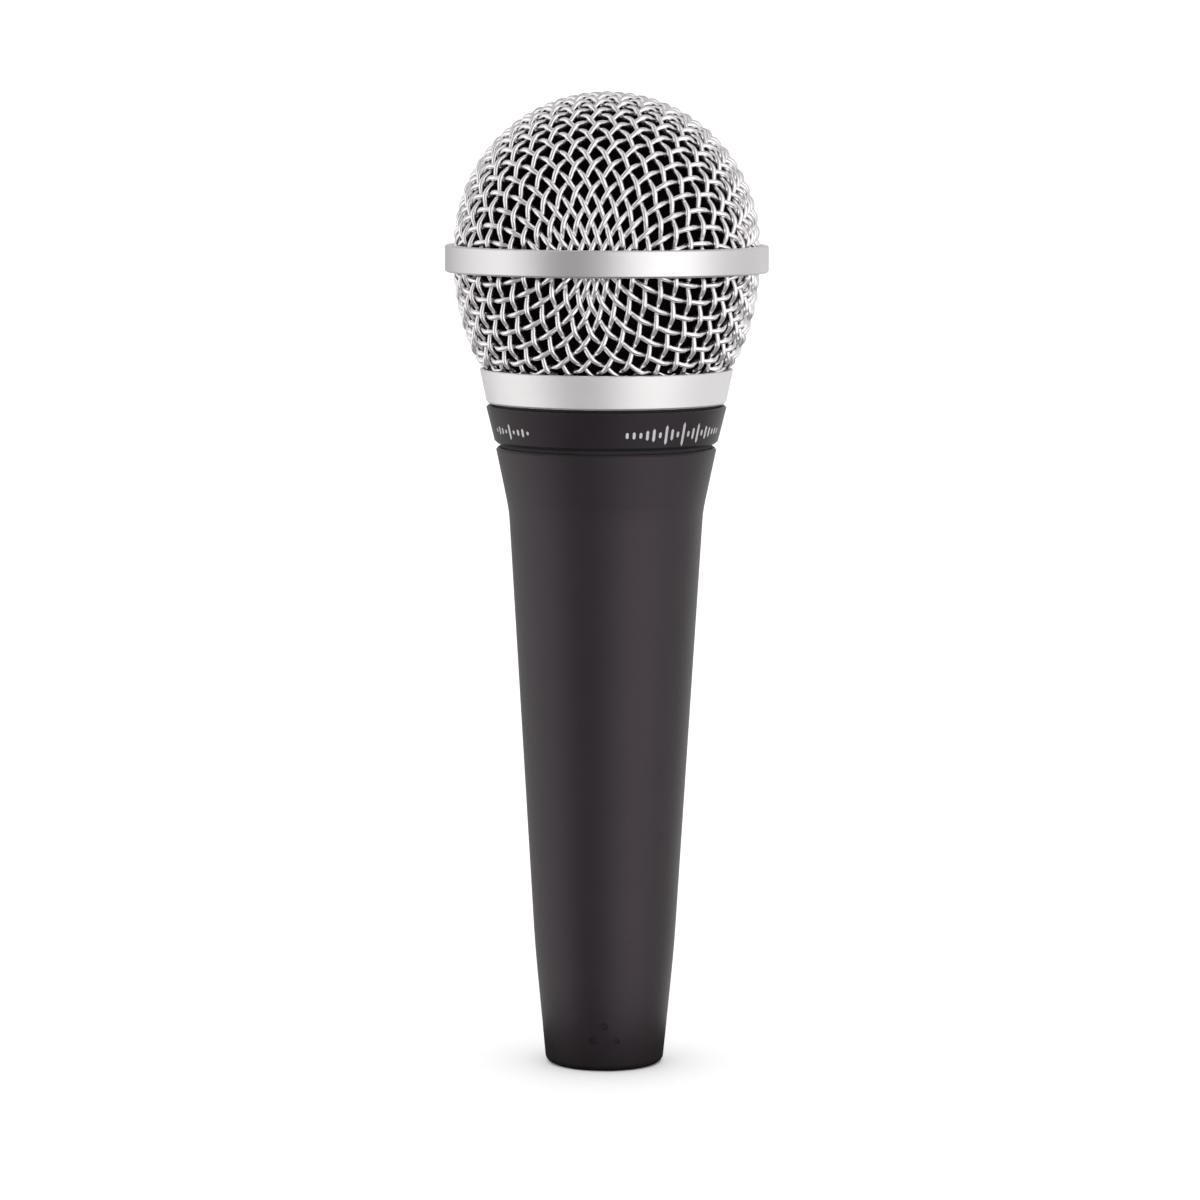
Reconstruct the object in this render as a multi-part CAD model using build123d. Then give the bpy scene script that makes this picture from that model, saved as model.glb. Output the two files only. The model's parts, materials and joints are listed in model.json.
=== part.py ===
"""Hand-held dynamic vocal microphone, as an assembly of separate pieces.

The microphone stands on its connector end: +Z runs up its axis to the top of the grille, and the origin is
the centre of the end face. The plain back of the handle faces -Y and the slide switch faces +Y. Units: mm.
"""

from build123d import *
import math
import os

# --- Driving dimensions -------------------------------------------------------------------------
FIT = 0.05  # gap between pieces fixed to each other
RUN = 0.2  # gap between pieces that move past each other

# Handle outline, from the end face up: (radius, height) corners
END_RADIUS = 9.9
END_ROUND = 1.2
NOSE_TOP = (11.78, 19.4)  # the steeper nose meets the long taper
NOSE_BLEND = 250.0
WAIST = (16.3, 93.8)  # the long taper meets the flare
WAIST_BLEND = 22.0
SHOULDER = (18.45, 104.1)
SHOULDER_TOP = 104.5
HANDLE_WALL = 2.0
NECK_RADIUS = 16.95
NECK_BORE = 15.2
NECK_BORE_FLOOR = 101.0
NECK_TOP = 117.0
SOCKET_EDGE = 0.3  # rounding of the socket's mouth
MARK_HEIGHT = 6.3  # middle of the sunk dots on the nose
MARK_DEPTH = 0.3
MARK_DOT = 0.6
MARK_PLACES = ((-1.92, 0.96), (1.92, 0.96), (0.0, -1.6))

# Thread for the grille, on the neck
THREAD_PITCH = 1.0
THREAD_DEPTH = 0.45
THREAD_BASE = 112.4
THREAD_TURNS = 4

# Collar, washer and grille base ring, stacked on the shoulder
COLLAR_BASE = 105.2
COLLAR_BASE_RADIUS = 18.72
COLLAR_TOP = 111.5
COLLAR_TOP_RADIUS = 20.1
COLLAR_FOOT = 0.45  # height of the slope under the collar
SEAL_RADIUS = 17.75
WASHER_RADIUS = 19.3
WASHER_THICK = 0.35
RING_BASE = COLLAR_TOP + 0.05 + WASHER_THICK + 0.05
RING_BASE_RADIUS = 20.08
RING_TOP = 117.65
RING_TOP_RADIUS = 21.2
RING_LEDGE = 116.2
RING_LIP_RADIUS = 20.65
RING_BORE = NECK_RADIUS + RUN
EDGE = 0.3  # small edge break

# Grille: a spherical dome over a bowl whose outline is one arc, clamped by a band
DOME_CENTRE = 138.2
DOME_RADIUS = 25.6
WEAVE_DEPTH = 1.8  # what the woven wires take up, inwards from the outer shape
MESH_THICK = 0.4  # a plain sheet of about the wires' volume
BOWL_RADIUS = 25.6
BOWL_ARC = 35.5  # radius of the outline of the bowl's side
BOWL_ARC_HEIGHT = 135.0  # where that outline is widest
BOWL_CORNER = 6.0  # rounding of the outline where the bowl turns in at its foot
BAND_BASE = 133.75
BAND_TOP = 138.25
BAND_RADIUS = 27.03
BAND_BORE = 25.7
BAND_WEB = 0.4  # web between dome and bowl
BAND_WEB_BORE = 24.4
FOAM_GAP = 0.05  # between woven wires and foam
DOME_FOAM_THICK = 4.0
BOWL_FOAM_THICK = 2.5
MESH_HOLE = RING_BORE + 0.25  # the opening round the neck, in mesh and foam

# Connector
SOCKET_RADIUS = 8.15
SOCKET_TOP = 25.5
INSERT_FACE = 16.5
INSERT_THICK = 8.0
INSERT_GROOVE = (6.9, 7.5)  # inner and outer radius of the groove in the insert's face
INSERT_GROOVE_DEPTH = 0.5
PIN_RADIUS = 1.18
PIN_CIRCLE = 4.0
PIN_TIP = 2.4
PIN_TIP_ROUND = 0.7
PIN_TAIL = 29.5
SOLDER_CUP = (0.75, 3.5)  # radius and depth
PIN_ANGLES = {"contact_pin_1": 160.0, "contact_pin_2": 20.0, "contact_pin_3": 270.0}
CLIP_THICK = 0.4
CLIP_WIDTH = 2.0
CLIP_ARM = 1.4
CLIP_TONGUE = 2.4
CLIP_PLACE = (-6.6, 1.37)
LOCK_SCREW_HEIGHT = 20.8
LOCK_SCREW_RADIUS = 1.25
LOCK_SCREW_LENGTH = 3.0
LOCK_SCREW_SLOT = (0.45, 0.6)  # width and depth
LATCH_RECESS = (4.6, 0.7, 3.2)  # width, depth and height
LATCH_HEIGHT = 6.0

# Switch, laid out on a plane tangent to the handle's taper. Depths count outwards from that plane.
SWITCH_HEIGHT = 76.0
SWITCH_TRAVEL = 3.0
SWITCH_REST = SWITCH_TRAVEL / 2  # the button rests at the upper end of its travel
PLATE_SIZE = (9.0, 23.0)
PLATE_CORNER = 1.45
PLATE_INSET = 0.1  # how far the plate lies under the handle's surface
PLATE_SLOT = (3.6, SWITCH_TRAVEL + 3.8)
POCKET_DEPTH = 1.2
POCKET_GAP = 0.15  # gap all round the plate
PAD_SIZE = (11.0, 28.0)
PAD_BACK = -3.4
PAD_OPENING = (4.4, 9.6)
PLATE_SCREW_OFFSET = 9.3
PLATE_SCREW_RADIUS = 1.5
PLATE_SCREW_HEAD = 0.6
PLATE_SCREW_SHANK = (0.6, 2.4)  # radius and length
PLATE_SCREW_SLOT = (2.0, 0.4, 0.42)  # length, width and depth
PILOT_RADIUS = 0.75
BUTTON_SIZE = (4.8, 6.0)
BUTTON_TOP = 1.1
BUTTON_STEM = 3.0
BUTTON_STEM_BACK = -2.6
BUTTON_RIDGE = (4.0, 0.5, 0.35)  # length, width and height
RIDGE_PITCH = 1.0
LEVER_SIZE = (1.4, 1.6)
LEVER_SPAN = (-5.4, -0.5)
LEVER_GAP = 0.1
SWITCH_SIZE = (7.6, 14.0)
SWITCH_SPAN = (-8.6, -3.5)
SWITCH_LUG = (1.2, 0.5, 2.0)
LUG_PLACE = (2.0, -3.0)
CUT = 8.0  # how far cutters run past a wall

# Cartridge
MOUNT_BASE = 104.0
MOUNT_FLANGE_RADIUS = 16.5
MOUNT_FLANGE = (1.3, 2.2)  # height of the flange at its rim and at the can
MOUNT_GROOVE_TOP = 113.0
CAN_RADIUS = 12.4
CAN_WALL = 1.0
CAN_BASE = 100.0
CAN_TOP = 126.0
CAN_MOUTH = 8.6  # radius of the opening in the can's floor
PORT_COUNT = 8
PORT_HEIGHT = 121.3
PORT_SIZE = (4.2, 1.4)
CAP_TOP = 129.5
CAP_THICK = 1.0
CAP_ROUND = 0.8
CAP_HOLE = 1.1
CAP_HOLES = ((0, 1), (4.2, 6), (8.2, 12))  # radius of each circle of holes, and how many
SCREEN_THICK = 0.35
SCREEN_RADIUS = 11.35
COIL_RADIUS = 6.0
COIL_WALL = 0.35
COIL_BASE = 120.2
DIAPHRAGM_HEIGHT = 123.4
DIAPHRAGM_THICK = 0.12
DIAPHRAGM_RISE = 1.6
SURROUND_RISE = 0.9
DIAPHRAGM_RIM = (10.0, 10.9)
SUPPORT_RIM = (10.2, 11.3)
CLAMP_RIM = (10.3, 11.35)
GAP_SIDE = 0.35  # air gap on each side of the coil
PLATE_BASE = 119.6
PLATE_TOP = 121.6
POLE_STEP = 0.3  # how far the centre pole runs past the pole plate
MAGNET_RADIUS = 5.4
YOKE_RADIUS = 10.9
YOKE_BORE = 9.6
YOKE_BASE = 111.0
YOKE_FLOOR = 2.0
VENT_COUNT = 6
VENT_RADIUS = 1.0
VENT_CIRCLE = 7.6
CARRIER_BASE = 106.0
CARRIER_TOP = 114.0
CARRIER_BORE = 9.0
FELT_RADIUS = 8.9
FELT_THICK = 1.25
PORT_SCREEN = (0.3, 119.9, 122.7)  # thickness, and the heights it runs between
CHAMBER_BASE = 86.0
CHAMBER_RADIUS = 9.4
CHAMBER_WALL = 1.0
CHAMBER_LIP_RADIUS = 11.3
BOARD_SIZE = (11.0, 7.0, 1.4)
POST_SPACING = 7.2
POST_LENGTH = 3.0
POST_RADIUS = 0.8
LEAD_RADIUS = 0.6
LEAD_KNOTS = ((3.6, 0.0, 74.0), (4.6, -2.2, 62.0), (2.4, -4.0, 50.0), (3.8, -1.0, 40.0))
LEAD_BENDS = (8, 10, 10, 8, 5)
LEAD_DROP = 34.5  # where a lead turns straight down into its cup


# --- Helpers ------------------------------------------------------------------------------------
def turned(points, rounds=()):
    """A solid turned about Z from (radius, height) corners. rounds lists ((radius, height), fillet)."""
    outline = Polygon(*points, align=None)
    for (radius, height), size in rounds:
        corner = outline.vertices().sort_by_distance((radius, height, 0))[0]
        outline = fillet(corner, size)
    return revolve(Plane.XZ * outline, Axis.Z)


def ring(inner, outer, base, top):
    """A plain ring about Z, or a disc where inner is 0."""
    return turned([(inner, base), (outer, base), (outer, top), (inner, top)])


def turned_curves(*curves):
    """A solid turned about Z from curves that close an outline, with x as radius and y as height."""
    return revolve(Plane.XZ * make_face(Wire(curves)), Axis.Z)


def shape_of(node, shape):
    """Writes one sub-part to its STEP file."""
    export_step(shape, f"parts/{node}.step")


def taper_radius(height):
    """The handle's outside radius on its long taper."""
    slope = (WAIST[0] - NOSE_TOP[0]) / (WAIST[1] - NOSE_TOP[1])
    return NOSE_TOP[0] + slope * (height - NOSE_TOP[1])


TAPER_ANGLE = math.atan((WAIST[0] - NOSE_TOP[0]) / (WAIST[1] - NOSE_TOP[1]))
# On this plane x runs towards -X, y up the handle and z out of its front.
SWITCH_PLANE = Plane(
    origin=(0, taper_radius(SWITCH_HEIGHT), SWITCH_HEIGHT),
    x_dir=(-1, 0, 0),
    z_dir=(0, math.cos(TAPER_ANGLE), -math.sin(TAPER_ANGLE)),
)


def on_switch(size, low, high, x=0.0, y=0.0, corner=0.0):
    """A block of (width, height) on the switch plane, between two depths, corners rounded if set."""
    face = RectangleRounded(*size, corner) if corner else Rectangle(*size)
    return SWITCH_PLANE * Pos(x, y, low) * extrude(face, high - low)


def pin_place(angle):
    """Where a connector contact stands on its circle."""
    turn = math.radians(angle)
    return Pos(PIN_CIRCLE * math.cos(turn), PIN_CIRCLE * math.sin(turn), 0)


# --- Handle -------------------------------------------------------------------------------------
def thread_outline():
    """Corners of the grille thread's ridges on the neck, from the bottom up."""
    corners = []
    for turn in range(THREAD_TURNS):
        base = THREAD_BASE + turn * THREAD_PITCH
        corners += [
            (NECK_RADIUS, base),
            (NECK_RADIUS - THREAD_DEPTH, base + 0.35 * THREAD_PITCH),
            (NECK_RADIUS - THREAD_DEPTH, base + 0.5 * THREAD_PITCH),
            (NECK_RADIUS, base + 0.85 * THREAD_PITCH),
        ]
    return corners


def handle_core(inset):
    """A solid of the handle's taper, brought in by an inset, for trimming pieces flush with it."""
    corners = [(radius - inset, height) for radius, height in (NOSE_TOP, WAIST)]
    return turned([(0, NOSE_TOP[1]), *corners, (0, WAIST[1])])


def handle_shell():
    """The tapered metal tube, with the connector socket at its end and the threaded neck at its top."""
    outside = [
        (SOCKET_RADIUS, 0),
        (END_RADIUS, 0),
        NOSE_TOP,
        WAIST,
        SHOULDER,
        (SHOULDER[0] - EDGE, SHOULDER_TOP),
        (NECK_RADIUS, SHOULDER_TOP),
        *thread_outline(),
        (NECK_RADIUS, NECK_TOP - EDGE),
        (NECK_RADIUS - EDGE, NECK_TOP),
    ]
    inside = [
        (NECK_BORE, NECK_TOP),
        (NECK_BORE, NECK_BORE_FLOOR),
        (WAIST[0] - HANDLE_WALL, WAIST[1]),
        (taper_radius(SOCKET_TOP + 3) - HANDLE_WALL, SOCKET_TOP + 3),
        (SOCKET_RADIUS, SOCKET_TOP),
    ]
    rounds = [
        ((END_RADIUS, 0), END_ROUND),
        (NOSE_TOP, NOSE_BLEND),
        (WAIST, WAIST_BLEND),
        ((SOCKET_RADIUS, 0), SOCKET_EDGE),
    ]
    shell = turned(outside + inside, rounds)
    # A flat pad inside the front wall carries the switch.
    shell += on_switch(PAD_SIZE, PAD_BACK, -POCKET_DEPTH - EDGE)
    pocket = tuple(side + 2 * POCKET_GAP for side in PLATE_SIZE)
    shell -= on_switch(pocket, -POCKET_DEPTH, CUT, corner=PLATE_CORNER + POCKET_GAP)
    shell -= on_switch(PAD_OPENING, -CUT, CUT, corner=0.8)
    for side in (-1, 1):
        pilot = Cylinder(PILOT_RADIUS, 2 * CUT)
        shell -= SWITCH_PLANE * Pos(0, side * PLATE_SCREW_OFFSET, 0) * pilot
    # Access hole to the lock screw, and the recess that the cable's latch drops into.
    hole = Cylinder(LOCK_SCREW_RADIUS + 0.15, CUT, rotation=(90, 0, 0))
    shell -= Pos(0, SOCKET_RADIUS + CUT / 2 - 0.5, LOCK_SCREW_HEIGHT) * hole
    width, depth, height = LATCH_RECESS
    shell -= Pos(0, SOCKET_RADIUS, LATCH_HEIGHT) * Box(width, 2 * depth, height)
    return shell - orientation_mark()


def orientation_mark():
    """Three round dots sunk into the back of the nose, laid out like the three contacts above them."""
    face = Sketch() + [Pos(x, y) * Circle(MARK_DOT) for x, y in MARK_PLACES]
    cutter = Plane(origin=(0, -2 * END_RADIUS, MARK_HEIGHT), x_dir=(1, 0, 0), z_dir=(0, 1, 0))
    slope = (NOSE_TOP[0] - END_RADIUS) / NOSE_TOP[1]
    top = 2 * MARK_HEIGHT
    base_radius = END_RADIUS - MARK_DEPTH
    core = turned([(0, 0), (base_radius, 0), (base_radius + slope * top, top), (0, top)])
    return cutter * extrude(face, 2 * END_RADIUS) - core


def handle_collar():
    """The plain black ring on the shoulder, under the grille."""
    return turned(
        [
            (NECK_RADIUS + FIT, COLLAR_BASE + 0.1),
            (NECK_RADIUS + 0.6, COLLAR_BASE + 0.1),
            (COLLAR_BASE_RADIUS - 0.5, COLLAR_BASE),
            (COLLAR_BASE_RADIUS, COLLAR_BASE + COLLAR_FOOT),
            (COLLAR_TOP_RADIUS, COLLAR_TOP - EDGE),
            (COLLAR_TOP_RADIUS - EDGE, COLLAR_TOP),
            (NECK_RADIUS + FIT, COLLAR_TOP),
        ]
    )


def shoulder_seal():
    """The thin ring that fills the groove between handle and collar."""
    return ring(NECK_RADIUS + FIT, SEAL_RADIUS, SHOULDER_TOP + FIT, COLLAR_BASE)


# --- Connector ----------------------------------------------------------------------------------
def connector_insert():
    """The insulating disc that holds the contacts in the end of the handle."""
    body = Pos(0, 0, INSERT_FACE + INSERT_THICK / 2) * Cylinder(SOCKET_RADIUS - FIT, INSERT_THICK)
    body -= ring(*INSERT_GROOVE, INSERT_FACE - 1, INSERT_FACE + INSERT_GROOVE_DEPTH)
    for angle in PIN_ANGLES.values():
        bore = Cylinder(PIN_RADIUS + FIT, 3 * INSERT_THICK)
        body -= pin_place(angle) * Pos(0, 0, INSERT_FACE) * bore
    depth = LOCK_SCREW_LENGTH + 0.4
    seat = Cylinder(LOCK_SCREW_RADIUS + FIT, depth, rotation=(90, 0, 0))
    return body - Pos(0, SOCKET_RADIUS - depth / 2, LOCK_SCREW_HEIGHT) * seat


def contact_pin(angle):
    """A round contact with a rounded tip and a hollow solder cup at its tail."""
    cup_radius, cup_depth = SOLDER_CUP
    pin = turned(
        [
            (0, PIN_TIP),
            (PIN_RADIUS, PIN_TIP),
            (PIN_RADIUS, PIN_TAIL),
            (cup_radius, PIN_TAIL),
            (cup_radius, PIN_TAIL - cup_depth),
            (0, PIN_TAIL - cup_depth),
        ],
        [((PIN_RADIUS, PIN_TIP), PIN_TIP_ROUND)],
    )
    return pin_place(angle) * pin


def ground_clip():
    """A spring plate on the insert's back, from the first contact to the handle's wall."""
    base = INSERT_FACE + INSERT_THICK + FIT
    x, y = CLIP_PLACE
    plate = ring(PIN_RADIUS + FIT, PIN_RADIUS + CLIP_ARM - CLIP_THICK, base, base + CLIP_THICK)
    plate = pin_place(PIN_ANGLES["contact_pin_1"]) * plate
    arm = Pos(x, y, base + CLIP_THICK / 2) * Box(CLIP_ARM, CLIP_WIDTH, CLIP_THICK)
    out = x - (CLIP_ARM + CLIP_THICK) / 2
    tongue = Pos(out, y, base + CLIP_TONGUE / 2) * Box(CLIP_THICK, CLIP_WIDTH, CLIP_TONGUE)
    return plate + arm + tongue


def insert_lock_screw():
    """The slotted set screw that locks the insert, behind the handle's access hole."""
    head = SOCKET_RADIUS - 2 * FIT
    screw = Cylinder(LOCK_SCREW_RADIUS, LOCK_SCREW_LENGTH, rotation=(90, 0, 0))
    width, depth = LOCK_SCREW_SLOT
    slot = Pos(0, head, LOCK_SCREW_HEIGHT) * Box(4 * LOCK_SCREW_RADIUS, 2 * depth, width)
    return Pos(0, head - LOCK_SCREW_LENGTH / 2, LOCK_SCREW_HEIGHT) * screw - slot


# --- Switch -------------------------------------------------------------------------------------
def switch_plate():
    """The cover plate in the handle's pocket, curved like the handle, with a slot and two screw holes."""
    plate = on_switch(PLATE_SIZE, FIT - POCKET_DEPTH, CUT, corner=PLATE_CORNER)
    plate &= handle_core(PLATE_INSET)
    plate -= on_switch(PLATE_SLOT, -CUT, CUT, corner=0.6)
    for side in (-1, 1):
        place = SWITCH_PLANE * Pos(0, side * PLATE_SCREW_OFFSET, 0)
        seat_depth = PLATE_INSET + PLATE_SCREW_HEAD + FIT
        plate -= place * Cylinder(PLATE_SCREW_RADIUS + FIT, 2 * seat_depth)
        plate -= place * Cylinder(PLATE_SCREW_SHANK[0] + 0.1, CUT)
    return plate


def switch_plate_screws():
    """The plate's two small screws, with crossed slots."""
    radius, length = PLATE_SCREW_SHANK
    slot_length, slot_width, slot_depth = PLATE_SCREW_SLOT
    screws = []
    for side in (-1, 1):
        place = SWITCH_PLANE * Pos(0, side * PLATE_SCREW_OFFSET, -PLATE_INSET)
        head = ring(0, PLATE_SCREW_RADIUS, -PLATE_SCREW_HEAD, 0)
        head = fillet(head.edges().sort_by(Axis.Z)[-1], EDGE)
        shank = Pos(0, 0, -EDGE - length / 2) * Cylinder(radius, length)
        slot = Box(slot_length, slot_width, 2 * slot_depth)
        slots = slot + Rot(0, 0, 90) * slot
        screws.append(place * (head + shank - slots))
    return Compound(children=screws)


def switch_button():
    """The ridged thumb piece, hollow underneath for the lever."""
    button = on_switch(BUTTON_SIZE, RUN - PLATE_INSET, BUTTON_TOP, y=SWITCH_REST, corner=0.7)
    length, width, rise = BUTTON_RIDGE
    for k in range(-2, 3):
        place = SWITCH_REST + k * RIDGE_PITCH
        button += on_switch((length, width), BUTTON_TOP - FIT, BUTTON_TOP + rise, y=place)
    stem = (BUTTON_STEM, BUTTON_STEM)
    button += on_switch(stem, BUTTON_STEM_BACK, RUN, y=SWITCH_REST)
    hollow = tuple(side + 2 * LEVER_GAP for side in LEVER_SIZE)
    return button - on_switch(hollow, -CUT, LEVER_SPAN[1] + LEVER_GAP, y=SWITCH_REST)


def switch_lever():
    """The switch's own lever, which carries the button."""
    return on_switch(LEVER_SIZE, *LEVER_SPAN, y=SWITCH_REST)


def switch_body():
    """The slide switch's case behind the pad, with its two lugs and the lever's slot."""
    back, front = SWITCH_SPAN
    body = on_switch(SWITCH_SIZE, back, front)
    slot = (LEVER_SIZE[0] + 0.4, LEVER_SIZE[1] + SWITCH_TRAVEL + 0.4)
    body -= on_switch(slot, LEVER_SPAN[0] - 0.4, front + CUT)
    width, thick, length = SWITCH_LUG
    for side in (-1, 1):
        place = {"x": side * LUG_PLACE[0], "y": LUG_PLACE[1]}
        body += on_switch((width, thick), back - length, back + 0.1, **place)
    return body


# --- Cartridge ----------------------------------------------------------------------------------
def shock_mount():
    """The rubber ring that carries the cartridge in the neck, with a flange over the neck's rim."""
    outer = NECK_BORE - FIT
    inner = CAN_RADIUS + FIT
    flange = NECK_TOP + FIT
    mount = turned(
        [
            (inner, MOUNT_BASE),
            (outer, MOUNT_BASE),
            (outer, flange),
            (MOUNT_FLANGE_RADIUS, flange),
            (MOUNT_FLANGE_RADIUS, flange + MOUNT_FLANGE[0]),
            (inner, flange + MOUNT_FLANGE[1]),
        ],
        [((MOUNT_FLANGE_RADIUS, flange + MOUNT_FLANGE[0]), 0.5)],
    )
    return mount - ring(inner + 1.0, inner + 2.0, MOUNT_BASE - 1, MOUNT_GROOVE_TOP)


def cartridge_can():
    """The cartridge's metal case, open at the top, with rear ports above the shock mount."""
    inner = CAN_RADIUS - CAN_WALL
    can = turned(
        [
            (CAN_MOUTH, CAN_BASE),
            (CAN_RADIUS, CAN_BASE),
            (CAN_RADIUS, CAN_TOP),
            (inner, CAN_TOP),
            (inner, CAN_BASE + CAN_WALL),
            (CAN_MOUTH, CAN_BASE + CAN_WALL),
        ]
    )
    width, height = PORT_SIZE
    for k in range(PORT_COUNT):
        turn = Rot(0, 0, 360 * (k + 0.5) / PORT_COUNT)
        can -= turn * Pos(CAN_RADIUS, 0, PORT_HEIGHT) * Box(4 * CAN_WALL, width, height)
    return can


def cartridge_cap():
    """The perforated cap over the diaphragm."""
    cap = turned(
        [
            (0, CAP_TOP - CAP_THICK),
            (CAN_RADIUS - CAP_THICK, CAP_TOP - CAP_THICK),
            (CAN_RADIUS - CAP_THICK, CAN_TOP + FIT),
            (CAN_RADIUS, CAN_TOP + FIT),
            (CAN_RADIUS, CAP_TOP),
            (0, CAP_TOP),
        ],
        [((CAN_RADIUS, CAP_TOP), CAP_ROUND)],
    )
    for radius, count in CAP_HOLES:
        for k in range(count):
            hole = Pos(radius, 0, CAP_TOP) * Cylinder(CAP_HOLE, 4 * CAP_THICK)
            cap -= Rot(0, 0, 360 * k / count) * hole
    return cap


def front_screen():
    """The fine cloth disc under the cap."""
    top = CAP_TOP - CAP_THICK - FIT
    return ring(0, SCREEN_RADIUS, top - SCREEN_THICK, top)


def diaphragm():
    """A thin domed disc with a rolled surround."""
    low, high = DIAPHRAGM_HEIGHT, DIAPHRAGM_HEIGHT + DIAPHRAGM_THICK
    fold, rim = DIAPHRAGM_RIM
    edge = COIL_RADIUS + COIL_WALL
    middle = (edge + fold) / 2

    def skin(base):
        halfway = (edge * 0.52, base + DIAPHRAGM_RISE * 0.74)
        dome = ThreePointArc((0, base + DIAPHRAGM_RISE), halfway, (edge, base))
        surround = ThreePointArc((edge, base), (middle, base + SURROUND_RISE), (fold, base))
        return [dome, surround, Line((fold, base), (rim, base))]

    outer_end = Line((rim, high), (rim, low))
    inner_end = Line((0, low + DIAPHRAGM_RISE), (0, high + DIAPHRAGM_RISE))
    return turned_curves(*skin(high), outer_end, *reversed(skin(low)), inner_end)


def voice_coil():
    """The wound coil under the diaphragm, hanging in the magnet's gap."""
    return ring(COIL_RADIUS, COIL_RADIUS + COIL_WALL, COIL_BASE, DIAPHRAGM_HEIGHT - 0.02)


def diaphragm_support():
    """The ring under the diaphragm's rim."""
    return ring(*SUPPORT_RIM, PLATE_TOP + FIT, DIAPHRAGM_HEIGHT - 0.45)


def diaphragm_clamp_ring():
    """The ring that holds the surround's rim from above."""
    return ring(*CLAMP_RIM, DIAPHRAGM_HEIGHT + 0.6, CAN_TOP)


def pole_plate():
    """The steel ring round the coil."""
    return ring(COIL_RADIUS + COIL_WALL + GAP_SIDE, YOKE_RADIUS, PLATE_BASE, PLATE_TOP)


def centre_pole():
    """The steel disc inside the coil, on the magnet."""
    return ring(0, COIL_RADIUS - GAP_SIDE, PLATE_BASE - POLE_STEP, PLATE_TOP + POLE_STEP)


def magnet():
    """The disc magnet, between yoke and centre pole."""
    base = YOKE_BASE + YOKE_FLOOR + FIT
    return ring(0, MAGNET_RADIUS, base, PLATE_BASE - POLE_STEP - FIT)


def magnet_yoke():
    """The steel pot round the magnet, vented at its base."""
    yoke = turned(
        [
            (0, YOKE_BASE),
            (YOKE_RADIUS, YOKE_BASE),
            (YOKE_RADIUS, PLATE_BASE - FIT),
            (YOKE_BORE, PLATE_BASE - FIT),
            (YOKE_BORE, YOKE_BASE + YOKE_FLOOR),
            (0, YOKE_BASE + YOKE_FLOOR),
        ]
    )
    for k in range(VENT_COUNT):
        vent = Pos(VENT_CIRCLE, 0, YOKE_BASE) * Cylinder(VENT_RADIUS, 4 * YOKE_FLOOR)
        yoke -= Rot(0, 0, 360 * k / VENT_COUNT) * vent
    return yoke


def yoke_carrier():
    """The moulded ring that seats the yoke in the can."""
    return turned(
        [
            (CARRIER_BORE, CARRIER_BASE),
            (CAN_RADIUS - CAN_WALL - FIT, CARRIER_BASE),
            (CAN_RADIUS - CAN_WALL - FIT, CARRIER_TOP),
            (YOKE_RADIUS + FIT, CARRIER_TOP),
            (YOKE_RADIUS + FIT, YOKE_BASE - FIT),
            (CARRIER_BORE, YOKE_BASE - FIT),
        ]
    )


def rear_port_screen():
    """The cloth band over the can's rear ports."""
    thick, base, top = PORT_SCREEN
    return ring(CAN_RADIUS + FIT, CAN_RADIUS + thick, base, top)


def damping_felt():
    """The felt disc under the yoke's vents."""
    return ring(0, FELT_RADIUS, YOKE_BASE - FIT - FELT_THICK, YOKE_BASE - FIT)


def rear_chamber():
    """The cup under the cartridge that tunes its bass, with a lip against the can."""
    lip = CAN_BASE - CHAMBER_WALL
    return turned(
        [
            (0, CHAMBER_BASE),
            (CHAMBER_RADIUS, CHAMBER_BASE),
            (CHAMBER_RADIUS, lip),
            (CHAMBER_LIP_RADIUS, lip),
            (CHAMBER_LIP_RADIUS, CAN_BASE - FIT),
            (CHAMBER_RADIUS - CHAMBER_WALL, CAN_BASE - FIT),
            (CHAMBER_RADIUS - CHAMBER_WALL, CHAMBER_BASE + CHAMBER_WALL),
            (0, CHAMBER_BASE + CHAMBER_WALL),
        ]
    )


BOARD_BASE = CHAMBER_BASE - FIT - BOARD_SIZE[2]
POST_BASE = BOARD_BASE - FIT - POST_LENGTH


def terminal_board():
    """The small board under the rear chamber."""
    return Pos(0, 0, BOARD_BASE + BOARD_SIZE[2] / 2) * Box(*BOARD_SIZE)


def terminal_posts():
    """The board's two solder posts."""
    height = POST_BASE + POST_LENGTH / 2
    post = Cylinder(POST_RADIUS, POST_LENGTH)
    return Compound(children=[Pos(side * POST_SPACING / 2, 0, height) * post for side in (-1, 1)])


def lead(side, contact):
    """A wire from a terminal post, past the switch, to the solder cup of a contact."""
    turn = math.radians(PIN_ANGLES[contact])
    cup = (PIN_CIRCLE * math.cos(turn), PIN_CIRCLE * math.sin(turn))
    route = [
        (side * POST_SPACING / 2, 0, POST_BASE - FIT),
        *[(side * x, y, z) for x, y, z in LEAD_KNOTS],
        (*cup, LEAD_DROP),
        (*cup, PIN_TAIL + FIT),
    ]
    path = FilletPolyline(*route, radius=LEAD_BENDS)
    start = Plane(origin=path @ 0, z_dir=path % 0)
    return sweep(start * Circle(LEAD_RADIUS), path)


# --- Grille -------------------------------------------------------------------------------------
def grille_washer():
    """The thin washer between collar and base ring."""
    base = COLLAR_TOP + 0.05
    return ring(RING_BORE + 0.1, WASHER_RADIUS, base, base + WASHER_THICK)


def grille_base_ring():
    """The silver ring at the grille's foot, bored to screw onto the neck, with a lip round the bowl."""
    return turned(
        [
            (RING_BORE, RING_BASE),
            (RING_BASE_RADIUS - EDGE, RING_BASE),
            (RING_BASE_RADIUS, RING_BASE + EDGE),
            (RING_TOP_RADIUS, RING_TOP - 0.15),
            (RING_TOP_RADIUS - 0.15, RING_TOP),
            (RING_LIP_RADIUS, RING_TOP),
            (RING_LIP_RADIUS - 0.6, RING_LEDGE),
            (RING_BORE, RING_LEDGE),
        ]
    )


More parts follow.
